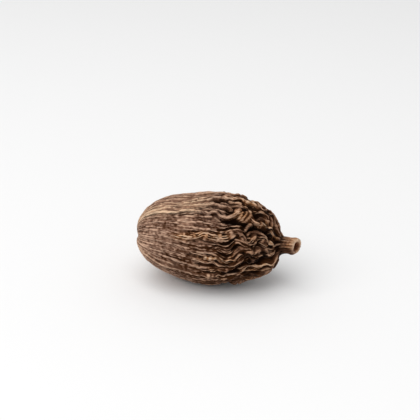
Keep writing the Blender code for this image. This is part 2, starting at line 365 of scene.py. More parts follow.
def ridge_paths(along):
    """The angle of each ridge at each station in degrees, and its shares of height, waving, width."""
    near = [np.interp(along, *curve_through(ridge[0], 24).T) for ridge in NEAR_RIDGES]
    near = np.stack(near, axis=1)
    last, first_again = near[:, -1:], near[:, :1] + 360.0
    share = np.arange(1, FAR_RIDGES + 1) / (FAR_RIDGES + 1)
    stray = FAR_WANDER * wander(along, 6.0, FAR_RIDGES, 100)
    far = last + (first_again - last) * share + stray * smooth_ramp(along, 2.0, 16.0)[:, None]
    rng = np.random.default_rng(11)
    shares = [ridge[1:] for ridge in NEAR_RIDGES]
    shares += [rng.uniform((0.4, 0.5, 0.8), (0.7, 0.9, 1.6)) for _ in range(FAR_RIDGES)]
    return np.hstack([near, far]), *np.array(shares).T


def far_ropes():
    """Wandering ropes over the shoulder's hidden side, in the same form as ROPES."""
    rng = np.random.default_rng(17)
    ropes = []
    for _ in range(FAR_ROPES):
        start = rng.uniform((21.0, 244.0), (29.0, 415.0))
        steps = rng.uniform((0.7, -13.0), (1.6, 13.0), (5, 2))
        points = np.vstack([start, start + np.cumsum(steps, axis=0)])
        points[:, 0] = np.minimum(points[:, 0], 35.0 + 0.1 * np.arange(6))
        ropes.append((points, rng.uniform(0.28, 0.38), rng.uniform(0.2, 0.5)))
    return ropes


def kept_apart(paths, gap):
    """Ridge angles pushed apart until neighbours are at least about that gap apart."""
    for _ in range(PUSHES):
        ahead = np.roll(paths, -1, axis=1)
        ahead[:, -1] += 360.0
        short = 0.5 * np.maximum(0.0, gap - (ahead - paths))
        paths = paths - short + np.roll(short, 1, axis=1)
    return paths


def blurred(field, rows, columns):
    """The field smoothed over about that many rows and columns each way, wrapping round the pod."""
    for _ in range(2):
        padded = np.concatenate([field[:1]] * rows + [field] + [field[-1:]] * rows)
        field = sum(padded[i : i + ROWS] for i in range(2 * rows + 1)) / (2 * rows + 1)
    for _ in range(2):
        turned = [np.roll(field, shift, axis=1) for shift in range(-columns, columns + 1)]
        field = sum(turned) / (2 * columns + 1)
    return field


def grid_normals(surface):
    """The outward direction at each point of a grid of places, smoothed over its neighbours."""
    across = np.roll(surface, -1, axis=1) - np.roll(surface, 1, axis=1)
    normals = blurred(np.cross(across, np.gradient(surface, axis=0)), 1, 1)
    return normals / np.maximum(np.linalg.norm(normals, axis=-1, keepdims=True), 1e-9)


def standing_out(surface, normals, rows, columns):
    """How far each point stands over the surface smoothed that widely, in millimetres."""
    return ((surface - blurred(surface, rows, columns)) * normals).sum(axis=-1)


def turned_from(angle, around):
    """From an angle in degrees to those in radians: the degrees between them, from -180 to 180."""
    return (np.degrees(angle) - around + 180) % 360 - 180


def patches_on(along, angle, patches):
    """A mask with a soft patch at each (distance along, angle, length, width, strength)."""
    mask = np.zeros(angle.shape)
    for at, around, length, width, strength in patches:
        off = (turned_from(angle, around) / width) ** 2
        mask += strength * np.exp(-(((along - at) / length) ** 2) - off)
    return mask


def bent(along, spoke):
    """Straight pod to resting pod: the axis falls a little, and the neck leans and lifts."""
    share = smooth_ramp(along, LEAN_START, LENGTH)
    bend = np.maximum(0.0, along - LEAN_START) * share
    turn = END_TURN * share
    x = along - LENGTH / 2 - CUT_BACK * share + np.sin(turn) * spoke[..., 0]
    y = np.cos(turn) * spoke[..., 0] - bend * math.tan(LEAN_ANGLE)
    z = AXIS_HEIGHT - math.tan(NOSE_DOWN) * (along - WIDEST_AT) + spoke[..., 1]
    z += bend * math.tan(LIFT_ANGLE)
    # The underside is pressed softly onto the ground, so that nothing reaches below it.
    z = np.where(z < 4.0, GROUND_SOFTNESS * np.log1p(np.exp(z / GROUND_SOFTNESS)), z)
    return np.stack([x, y, z], axis=-1)


class Husk:
    """The husk's surface as a grid: its rows are stations of the outline, its columns lines along it."""

    def __init__(self, settings):
        self.settings = settings
        outline = outline_rows()
        self.along, self.radius = outline.T
        self.arc = running_length(outline)
        self.proud = np.zeros((ROWS, COLUMNS))  # where a rope or a lump lies over the ridges
        # Paler along rope and pleat tops: partly wear, partly painted highlight.
        self.worn_and_lit = np.zeros((ROWS, COLUMNS))  # the light line along the top of a rope or a pleat
        tangent = np.gradient(outline, axis=0)
        tangent /= np.linalg.norm(tangent, axis=1)[:, None]
        self.normal_along = -tangent[:, 1]
        self.normal_out = tangent[:, 0]
        self.inside = np.arange(ROWS) > np.argmax(self.along)  # the wall of the stub's hollow
        station = np.where(self.inside, LENGTH, self.along)
        from_rim = np.where(self.inside, 2, 1) * (LENGTH - self.along)
        self.rim = bell(from_rim / RIM_WIDTH)
        self.fade = smooth_ramp(self.radius, *FADE)
        self.grown = smooth_ramp(station, *GROWN)
        self.neck = smooth_ramp(station, *NECK)
        self.loose = self.grown * (1 - smooth_ramp(station, *CALM))
        self.lay_ridges(station)
        self.lay_columns()
        self.beaded = np.clip(patches_on(self.along[:, None], self.angle, BEADED_PATCHES), 0.0, 1.0)

    def lay_ridges(self, station):
        """Sets the angle of each ridge at each row, how high it stands and how far it leans over."""
        settings = self.settings
        paths, heights, wavings, self.widths = ridge_paths(station)
        middling, long, short = (
            wander(station, share * settings.wave_length / MM, RIDGE_COUNT, seed)
            for share, seed in ((1.0, 200), (2.5, 201), (0.5, 202))
        )
        phase = 4.0 * middling + 2.0 * long
        swing = 1.6 * short + np.sin(phase)
        reach = settings.wave_width / MM * wavings * self.loose[:, None]
        shiver = 0.1 * wander(station, 0.7, RIDGE_COUNT, 600)
        shiver *= (self.fade * (0.3 + 0.7 * self.grown))[:, None]
        paths = paths + np.degrees((reach * swing + shiver) / np.maximum(self.radius, 3.5)[:, None])
        gap = np.degrees(RIDGE_GAP * self.grown / np.maximum(self.radius, 4.0))
        self.paths = kept_apart(paths, gap[:, None])

        start = np.random.default_rng(5).uniform(6.0, 11.0, RIDGE_COUNT)
        rise = 0.88 * smooth_ramp(station[:, None], start, RIDGES_FULL)
        rise += 0.12 * smooth_ramp(station, 1.0, 8.0)[:, None]
        swell = 1 + 0.3 * wander(station, 3.0, RIDGE_COUNT, 400)
        ends = np.where(np.arange(RIDGE_COUNT) % 2 == 0, EVEN_END, ODD_END)
        left = 1 - smooth_ramp(station[:, None], ends - 2.5, ends)
        height = settings.ridge_height / MM * heights * rise * swell * left
        self.tall = height * (self.fade * (1 - 0.55 * self.neck))[:, None]
        self.lean = 0.4 * height * np.sin(phase + 0.5) * self.loose[:, None]
        overhang = np.array([OVERHANGS.get(number, 0.0) for number in range(RIDGE_COUNT)])
        self.lean += overhang * (self.grown * (1 - self.neck))[:, None]

    def lay_columns(self):
        """Sets the angle of each grid point, and how far it lies from the ridges on both sides."""
        share = np.arange(COLUMNS_PER_RIDGE) / COLUMNS_PER_RIDGE
        share = share - CROWDING * np.sin(2 * math.pi * share) / (2 * math.pi)
        ahead = np.roll(self.paths, -1, axis=1)
        ahead[:, -1] += 360.0
        gap = (ahead - self.paths)[:, :, None]
        self.angle = np.radians((self.paths[:, :, None] + gap * share).reshape(ROWS, COLUMNS))
        width = np.radians(gap) * self.radius[:, None, None]
        self.after = (width * share).reshape(ROWS, COLUMNS)
        self.before = (width * (1 - share)).reshape(ROWS, COLUMNS)
        self.share = np.tile(share, RIDGE_COUNT)
        self.number = np.arange(COLUMNS) // COLUMNS_PER_RIDGE
        self.next_number = (self.number + 1) % RIDGE_COUNT

    def stray(self, scale, seed):
        """For each row and ridge, smooth noise from -1 to 1 with a new value about every scale."""
        return wander(self.along, scale, RIDGE_COUNT, seed)

    def arc_at(self, along):
        """The distance along the outline at which the pod's outside reaches a station."""
        return np.interp(along, self.along[~self.inside], self.arc[~self.inside])

    def profile(self, away, widths):
        """How much of a ridge's height is left this far from its crest, in millimetres."""
        room = 0.1 + 0.4 * (self.after + self.before)
        away = away / np.minimum(self.settings.ridge_width / MM * widths, room)
        power = 2.4 - 0.8 * self.grown[:, None]
        return 0.6 * np.exp(-np.abs(away) ** power) + 0.4 * (1 + (away / 2) ** 2) ** -1.5

    def pleats(self):
        """Slanting lumps and lengthwise grooves on the ridges, as shares of their height."""
        nearest = np.where(self.after < self.before, self.number, self.next_number)
        away = np.where(self.after < self.before, self.after, -self.before)
        slanted = self.along[:, None] + 0.8 * away
        lumps = np.zeros(away.shape)
        for scale, share, seed in ((1.5, 0.4, 415), (0.62, 0.32, 406)):
            places = np.stack([slanted / scale, nearest, np.full(away.shape, 0.5)], axis=-1)
            lumps += share * lattice_noise(places, seed)
        drift = np.take_along_axis(self.stray(3.0, 420), nearest, axis=1)
        grooves = np.cos(2 * math.pi * (away / 0.52 + drift))
        grooves *= np.clip(self.widths[nearest] - 0.7, 0.2, 1.0)
        return 1 + lumps + 0.2 * grooves

    def ridges(self):
        """How far the ridges lift each point off the outline and push it round, in millimetres."""
        near = self.profile(self.after, self.widths[self.number])
        far = self.profile(self.before, self.widths[self.next_number])
        lift = self.tall[:, self.number] * near + self.tall[:, self.next_number] * far
        push = self.lean[:, self.number] * near**2 + self.lean[:, self.next_number] * far**2
        sunk = 0.75 * self.grown * (1 - self.neck) * self.settings.ridge_height / MM
        return lift * self.pleats() - sunk[:, None], push

    def lips(self):
        """The same two as ridges gives, for the lips where valves overlap."""
        lift = np.zeros((ROWS, COLUMNS))
        push = np.zeros((ROWS, COLUMNS))
        uneven = 1 + 0.35 * self.stray(2.0, 500)
        for number, end in LIPS.items():
            share = smooth_ramp(self.along, 0.2, 3.0) * self.fade
            share *= 1 - smooth_ramp(self.along, end - 3.0, end + 3.0)
            height = (self.settings.lip_height / MM * share * uneven[:, number])[:, None]
            edge = bell(self.before / 0.3)
            ledge = 0.6 * np.exp(-self.before / LIP_REACH[number]) + 0.4 * edge
            groove = bell((self.after - 0.1) / 0.1)
            lift += np.where(self.number == number - 1, height * ledge, 0.0)
            push += np.where(self.number == number - 1, 0.6 * height * edge, 0.0)
            lift -= np.where(self.number == number, 0.6 * height * groove, 0.0)
        return lift, push

    def strands(self):
        """How far the thin strands between the ridges lift each point: they come, go and wander."""
        lift = np.zeros((ROWS, COLUMNS))
        for strand in range(STRANDS_PER_GAP):
            seed = 700 + 10 * strand
            place = (strand + 1) / (STRANDS_PER_GAP + 1) + 0.11 * self.stray(2.6, seed)
            place += 0.06 * self.stray(0.9, seed + 1) * (0.4 + 0.6 * self.grown)[:, None]
            strength = np.clip(0.7 + 0.75 * self.stray(3.2, seed + 2), 0.05, 1.3)
            strength *= 1 + 0.5 * self.stray(0.75, seed + 3)
            away = (self.share - place[:, self.number]) * (self.after + self.before)
            lift += strength[:, self.number] * bell(away / STRAND_WIDTH)
        tall = self.settings.strand_height / MM * (0.28 + 0.72 * self.grown)
        return lift * (tall * self.fade * (1 - self.neck))[:, None] * (1 - 0.5 * self.beaded)

    def fibres(self):
        """Fine fibres along the neck and the stub."""
        waver = 0.6 + 0.9 * self.stray(3.0, 801)[:, self.number]
        turn = 2 * math.pi * self.share
        drift = 2.5 * wander(self.along, 5.0, 1, 802)
        fibre = 0.6 * np.cos(turn) + 0.2 * np.cos(3 * turn + 1.0)
        fibre = fibre + 0.8 * np.cos(NECK_STRANDS * self.angle + drift)
        strength = smooth_ramp(self.along, *FIBRES) * (1 - 0.7 * self.rim)
        return 0.12 * strength[:, None] * waver * fibre

    def add_lumps(self, lift):
        """Raises the pleated lumps over the ridges."""
        for along, angle, half_length, half_width, top, slant, spacing in LUMPS:
            off = np.radians(turned_from(self.angle, angle)) * self.radius[:, None]
            ahead = self.arc[:, None] - self.arc_at(along)
            away = np.sqrt((ahead / half_length) ** 2 + (off / half_width) ** 2)
            dome = np.sqrt(np.clip(1 - away**2, 0.0, 1.0))
            slanted = ahead + slant * off + 0.25 * off**2
            pleats = 0.5 + 0.5 * np.cos(2 * math.pi * slanted / spacing)
            target = top - 1.1 * half_width * (1 - dome) + 0.3 * (pleats - 0.8) * dome
            lift = np.where(away < 1, np.maximum(lift, target), lift)
            on_lump = (away < 1) & (lift <= target)
            self.proud = np.where(on_lump, dome, self.proud)
            # The pleats' tops are paler: partly wear, partly painted highlight.
            self.worn_and_lit = np.where(on_lump, 0.75 * dome * pleats**2, self.worn_and_lit)
        return lift

    def add_ropes(self, lift):
        """Lays the single ropes over the ridges."""
        lift = lift.copy()
        for rope, (points, half_width, top) in enumerate([*ROPES, *far_ropes()]):
            curve = curve_through(points, 12)
            at, turn = self.arc_at(curve[:, 0]), np.radians(curve[:, 1])
            length = running_length(curve * (1.0, 0.15))
            widths = half_width * (1 + 0.45 * wander(length, 0.8, 1, 900 + rope)[:, 0])
            near = (self.arc > at.min() - 0.6) & (self.arc < at.max() + 0.6)
            nearest = np.full((near.sum(), COLUMNS), FAR_OFF)
            place = np.zeros(nearest.shape, int)
            for number in range(len(at)):
                off = (self.angle[near] - turn[number] + math.pi) % (2 * math.pi) - math.pi
                square = (off * self.radius[near][:, None]) ** 2
                square = (square + (self.arc[near] - at[number])[:, None] ** 2) / widths[number] ** 2
                place = np.where(square < nearest, number, place)
                nearest = np.minimum(nearest, square)
            away = np.sqrt(nearest)
            ends = (2 * place / (len(at) - 1) - 1) ** 6
            uneven = 0.16 * wander(length, 1.1, 1, 950 + rope)[:, 0][place]
            target = top - ROPE_SUNK + uneven - ROPE_DEPTH * half_width * away**1.3 - 0.6 * ends
            on_rope = (away < 1.3) & (target > lift[near])
            proud = np.clip(1.3 - away, 0.0, 1.0) * (1 - ends)
            # A paler line along the rope's crest: partly wear, partly painted highlight.
            line = bell(away / 0.45) * (1 - ends) * (0.75 + 1.5 * uneven)
            for field, values in ((lift, target), (self.proud, proud), (self.worn_and_lit, line)):
                field[near] = np.where(on_rope, values, field[near])
        return lift

    def worn_and_lit_lines(self):
        """A mask with a thin light line along the crest of each worn ridge, partly a painted highlight,
        and one of the painted shadows below them.
        """
        lines = np.zeros((ROWS, COLUMNS))
        shadows = np.zeros((ROWS, COLUMNS))
        uneven = 0.65 + 0.55 * self.stray(1.5, 970)
        for number, (start, strength) in WORN_AND_LIT_RIDGES.items():
            share = smooth_ramp(self.along, start - 2.0, start + 3.0) * (1 - self.neck) * self.fade
            strengths = (strength * share * uneven[:, number])[:, None]
            before = np.where(self.number == number - 1, self.before, FAR_OFF)
            after = np.where(self.number == number, self.after, FAR_OFF)
            line = bell(np.minimum(after, before) / WORN_AND_LIT_WIDTH) * strengths
            lines = np.maximum(lines, line)
            shadows = np.maximum(shadows, bell((after - 0.4) / WORN_AND_LIT_WIDTH) * strengths)
        return lines * (1 - self.proud), shadows * (1 - self.proud)

    def rib_places(self):
        """A place for each grid point: its column goes round a ring and its station goes up it."""
        turn = np.arange(COLUMNS) * 2 * math.pi / COLUMNS
        radius = COLUMNS / (2 * math.pi)
        height = np.where(self.inside, 2 * LENGTH - self.along, self.along)[:, None]
        ring = np.broadcast_arrays(radius * np.cos(turn), radius * np.sin(turn), height)
        return np.stack(ring, axis=-1)

    def fine_relief(self, plain):
        """Beads and creases along the ribs, wrinkles across them, knots and grit, in millimetres."""
        places = self.rib_places()
        places[..., 2] += 2.5 * lattice_noise(plain / 3.7, 26)
        beads = lattice_noise(places * (0.2, 0.2, 1.1), 23)
        beads += 0.7 * lattice_noise(places * (0.36, 0.36, 1.7), 28)
        creases = crease_noise(places * (0.17, 0.17, 0.13), 4.0, 22)
        thin_creases = crease_noise(places * (0.3, 0.3, 0.22), 3.0, 24)
        wrinkles = crease_noise(places * (0.1, 0.1, 0.75), 3.0, 25)
        grit = lattice_noise(plain / 0.45, 33)
        knots = lattice_noise(plain / (0.95, 0.6, 0.6), 38)
        grown = self.grown[:, None]
        relief = (0.25 + 0.35 * grown) * beads + 0.7 * thin_creases + 0.35 * grit
        relief += (0.85 + 0.25 * grown) * creases * (1 - 0.6 * self.beaded)
        relief += (0.2 + 0.4 * grown) * wrinkles + 1.2 * self.beaded * knots
        height = self.settings.grain_height / MM * self.fade
        height = height * (1 - 0.7 * self.rim) * (1 - 0.5 * self.neck)
        return height[:, None] * (1 - 0.75 * self.proud) * relief

    def surface(self):
        """Where each grid point ends up, in millimetres."""
        cos, sin = np.cos(self.angle), np.sin(self.angle)
        along = np.broadcast_to(self.along[:, None], cos.shape)
        radius = self.radius[:, None]
        plain = np.stack([along, radius * cos, radius * sin], axis=-1)
        lift, push = np.array(self.ridges()) + np.array(self.lips())
        crumple = (self.grown * (1 - 0.85 * self.neck) * self.fade)[:, None]
        lumps = lattice_noise(plain / 3.2, 31) + 0.6 * lattice_noise(plain / 1.3, 32)
        lift = lift + self.strands() + self.settings.crumple / MM * crumple * lumps
        lift -= patches_on(along, self.angle, HOLLOWS)
        lift = self.add_ropes(self.add_lumps(lift)) + patches_on(along, self.angle, SWELLS)
        push = push * (1 - 0.85 * blurred(np.clip(self.proud, 0.0, 1.0), 1, 3))
        push += 0.4 * crumple * lattice_noise(plain / 2.2, 34)
        slide = 0.45 * crumple * lattice_noise(plain / 2.4, 35)
        # Near the axis the relief shrinks with the radius, so that the surface can't cross itself.
        room = np.minimum(1.0, radius / 2.6)
        lift = lift * room + self.fibres() * np.minimum(1.0, radius / 0.8)
        push = push * room
        ring = np.stack([cos, sin, np.zeros(cos.shape)], axis=-1)
        torn = lattice_noise(3.0 * ring, 36) + 0.2 * lattice_noise(7.0 * ring, 37)
        slide += 0.14 * torn * smooth_ramp(along, *TORN) * room
        out_at = radius + self.normal_out[:, None] * lift
        along_at = along + self.normal_along[:, None] * lift + slide
        rough = np.stack([along_at, out_at * cos - push * sin, out_at * sin + push * cos], axis=-1)
        rough += grid_normals(rough) * (self.fine_relief(plain) * room)[..., None]
        spoke = rough[..., 1:] * (1 - (1 - BELLY_SHARE) * np.maximum(0.0, -sin))[..., None]
        return bent(rough[..., 0], spoke)

    def masks(self, surface):
        """The masks of the husk's material, in the order of MASKS."""
        normals = grid_normals(surface)
        fine = standing_out(surface, normals, 1, 2)
        middle = standing_out(surface, normals, 3, 5)
        broad = standing_out(surface, normals, 8, 14)
        # The columns crowd together on the neck, so its masks look further across.
        across = standing_out(surface, normals, 2, 16)
        along, grown, rim = self.along[:, None], self.grown[:, None], self.rim[:, None]
        at_neck = smooth_ramp(along, 30.5, 33.5)
        fine = fine * (1 - at_neck) + 0.5 * across * at_neck
        middle = middle * (1 - at_neck) + across * at_neck
        # Paler worn lines along some crests, partly painted highlight, with painted shadows below them.
        lines, shadows = self.worn_and_lit_lines()
        worn_and_lit = np.maximum(self.worn_and_lit, lines)
        first_lip = np.where(self.number == 3, np.exp(-self.before / 0.5), 0.0) * (1 - grown)
        lip_ring = rim**6  # the pale edge of the stub's mouth
        end = smooth_ramp(np.where(self.inside[:, None], LENGTH, along), *STUB)

        # Darker towards the bottom: painted shade along the pod's lower side, added to the shoulder's
        # darker skin.
        low = smooth_ramp(-np.sin(self.angle), -0.6, 0.5) * smooth_ramp(along, 8.0, 20.0)
        shoulder = smooth_ramp(along, 18.0, 26.0) * (1 - smooth_ramp(along, 32.0, 35.0))
        shoulder = np.clip(0.8 * shoulder + 0.8 * low, 0.0, 1.0) * (1 - 0.6 * worn_and_lit)
        # Paler on the crests, the lip's edge and the stub's fibres: partly wear, partly painted
        # highlight.
        crest = smooth_ramp(5.0 * fine + 1.6 * middle + 0.25 * broad, -0.1, 0.75)
        crest = crest ** (1 + 0.9 * shoulder) * (1 - 0.5 * self.proud)
        crest = np.maximum(np.maximum(crest, worn_and_lit), np.maximum(0.4 * rim, 0.9 * first_lip))
        crest += (0.22 + 4.0 * self.fibres() - crest) * end * (1 - 0.5 * rim)
        crest = np.maximum(crest, 0.95 * lip_ring)
        # Painted shade in the creases, and painted shadow lines below the worn crests.
        crease_shade = np.maximum(smooth_ramp(-6.0 * fine - 1.6 * middle, 0.15, 1.0), 0.9 * shadows)
        # Painted shade deep in the valleys and in the hollows.
        cave_shade = patches_on(along, self.angle, HOLLOWS) * (1 - self.proud)
        deep_shade = smooth_ramp(-broad - 0.3 * middle + 0.9 * cave_shade + 0.1 * shoulder, 0.1, 0.7)
        pale = patches_on(along, self.angle, PALE_PATCHES) + first_lip + lip_ring
        pale += 0.35 * lattice_noise(surface / 3.0, 41)
        spots = lattice_noise(surface / 2.6, 42) + 0.5 * lattice_noise(surface / 1.1, 43)
        spots = smooth_ramp(spots, 0.1, 0.9) * grown * (1 - 0.5 * end)
        ochre = patches_on(along, self.angle, OCHRE_PATCHES) + 0.75 * spots
        ochre += 0.45 * end - 0.6 * lip_ring
        hollow = self.inside[:, None] * (1 - smooth_ramp(along, *MOUTH))
        # Patches of painted light and shade, and of lighter or darker colour.
        tone_and_shade = 0.5 + patches_on(along, self.angle, SHADE_AND_TONE_PATCHES)
        masks = (crest, crease_shade, deep_shade, pale, ochre, 0.35 * end, hollow, shoulder, tone_and_shade)
        return [np.clip(np.broadcast_to(mask, crest.shape), 0.0, 1.0) for mask in masks]


def spun_husk():
    """The outline spun round its axis, as a bmesh that knows the row of each vertex."""
    husk = bmesh.new()
    row = husk.verts.layers.float.new("row")
    vertices = [husk.verts.new((along * MM, 0.0, radius * MM)) for along, radius in outline_rows()]
    for number, vertex in enumerate(vertices):
        vertex[row] = number
    edges = [husk.edges.new(pair) for pair in zip(vertices, vertices[1:])]
    # A quarter turn and three turned copies of it are much quicker than one full spin.
    bmesh.ops.spin(
        husk,
        geom=vertices + edges,
        cent=(0, 0, 0),
        axis=(1, 0, 0),
        angle=math.pi / 2,
        steps=COLUMNS // 4,
    )
    quarter = husk.verts[:] + husk.edges[:] + husk.faces[:]
    for turn in (1, 2, 3):
        copy = bmesh.ops.duplicate(husk, geom=quarter)["geom"]
        bmesh.ops.rotate(
            husk,
            verts=[part for part in copy if isinstance(part, bmesh.types.BMVert)],
            cent=(0, 0, 0),
            matrix=Matrix.Rotation(turn * math.pi / 2, 3, "X"),
        )
    bmesh.ops.remove_doubles(husk, verts=husk.verts, dist=0.0005 * MM)
    bmesh.ops.recalc_face_normals(husk, faces=husk.faces)
    return husk


def spun_mesh():
    """The spun husk as a mesh, and the grid's row and column of each of its vertices."""
    spun = spun_husk()
    mesh = bpy.data.meshes.new("pod_husk")
    spun.to_mesh(mesh)
    spun.free()
    places = np.zeros(len(mesh.vertices) * 3)
    mesh.vertices.foreach_get("co", places)
    turn = np.arctan2(places[2::3], places[1::3]) / (2 * math.pi)
    columns = np.rint(turn * COLUMNS).astype(int) % COLUMNS
    rows = np.zeros(len(mesh.vertices), np.float32)
    mesh.attributes["row"].data.foreach_get("value", rows)
    mesh.attributes.remove(mesh.attributes["row"])
    return mesh, np.rint(rows).astype(int), columns


def set_attribute(mesh, name, kind, values):
    """Stores a value or a vector for each vertex."""
    attribute = mesh.attributes.new(name, kind, "POINT")
    key = "vector" if kind == "FLOAT_VECTOR" else "value"
    attribute.data.foreach_set(key, np.ascontiguousarray(values, np.float32).ravel())


def add_map(mesh, rows, columns):
    """Lays the husk flat for baking: columns across, rows up."""
    corners = np.zeros(len(mesh.loops), np.int32)
    mesh.loops.foreach_get("vertex_index", corners)
    sizes = np.zeros(len(mesh.polygons), np.int32)
    mesh.polygons.foreach_get("loop_total", sizes)
    owner = np.repeat(np.arange(len(sizes)), sizes)
    across, up = columns[corners].astype(float), rows[corners]
    pole = (up == 0) | (up == ROWS - 1)
    lowest = np.full(len(sizes), float(COLUMNS))
    highest = np.full(len(sizes), -1.0)
    np.minimum.at(lowest, owner[~pole], across[~pole])
    np.maximum.at(highest, owner[~pole], across[~pole])
    # The faces between the last column and the first lie at the map's right edge.
    wraps = highest - lowest > COLUMNS / 2
    across[wraps[owner] & (across == 0)] = COLUMNS
    middle = np.where(wraps, COLUMNS - 0.5, 0.5 * (lowest + highest))
    across = np.where(pole, middle[owner], across)
    places = np.stack([across / COLUMNS, up / (ROWS - 1)], axis=-1)
    layer = mesh.uv_layers.new(name="OFBake")
    layer.data.foreach_set("uv", places.astype(np.float32).ravel())


def husk_mesh(settings):
    """The husk's mesh at its place, with its masks and its map."""
    mesh, rows, columns = spun_mesh()
    husk = Husk(settings)
    surface = husk.surface()
    for pole in (0, ROWS - 1):
        surface[pole] = surface[pole].mean(axis=0)
    mesh.vertices.foreach_set("co", (surface * MM)[rows, columns].ravel())
    for name, mask in zip(MASKS, husk.masks(surface)):
        set_attribute(mesh, name, "FLOAT", mask[rows, columns])
    set_attribute(mesh, "rib_place", "FLOAT_VECTOR", husk.rib_places()[rows, columns])
    add_map(mesh, rows, columns)
    mesh.update()
    mesh.shade_smooth()
    return mesh


def new_material(name):
    """A material, its node tree and its shader."""
    material = bpy.data.materials.new(name)
    material.use_nodes = True
    return material, material.node_tree, material.node_tree.nodes["Principled BSDF"]


def add_node(tree, kind, place, **values):
    """A shader node at a place in the tree, with its properties set."""
    node = tree.nodes.new(kind)
    node.location = place
    for name, value in values.items():
        setattr(node, name, value)
    return node


def feed(tree, socket, value):
    """Gives a socket its value: another socket, a number or a colour of three numbers."""
    if isinstance(value, bpy.types.NodeSocket):
        tree.links.new(value, socket)
    else:
        socket.default_value = (*value, 1.0) if socket.type == "RGBA" else value


def noise_texture(tree, place, vector, scale, detail):
    """The grey value of a noise texture."""
    noise = add_node(tree, "ShaderNodeTexNoise", place)
    for key, value in (("Vector", vector), ("Scale", scale), ("Detail", detail)):
        feed(tree, noise.inputs[key], value)
    return noise.outputs["Fac"]


def mix_values(tree, place, operation, *values, clamp=False):
    """The result of a maths node whose inputs are sockets or numbers."""
    maths = add_node(tree, "ShaderNodeMath", place, operation=operation, use_clamp=clamp)
    for socket, value in zip(maths.inputs, values):
        feed(tree, socket, value)
    return maths.outputs["Value"]


def mix_colours(tree, place, factor, first, second):
    """The second colour over the first, by a mask. A colour is a socket or three numbers."""
    mix = add_node(tree, "ShaderNodeMix", place, data_type="RGBA")
    feed(tree, mix.inputs["Factor"], factor)
    colours = [socket for socket in mix.inputs if socket.type == "RGBA"]
    for socket, value in zip(colours, (first, second)):
        feed(tree, socket, value)
    return next(socket for socket in mix.outputs if socket.type == "RGBA")


def colour_ramp(tree, place, factor, positions, colours):
    """A colour ramp with each colour at its position."""
    ramp = add_node(tree, "ShaderNodeValToRGB", place)
    elements = ramp.color_ramp.elements
    while len(elements) < len(positions):
        elements.new(1.0)
    for element, position, colour in zip(elements, positions, colours):
        element.position = position
        element.color = (*colour, 1.0)
    feed(tree, ramp.inputs["Fac"], factor)
    return ramp.outputs["Color"]


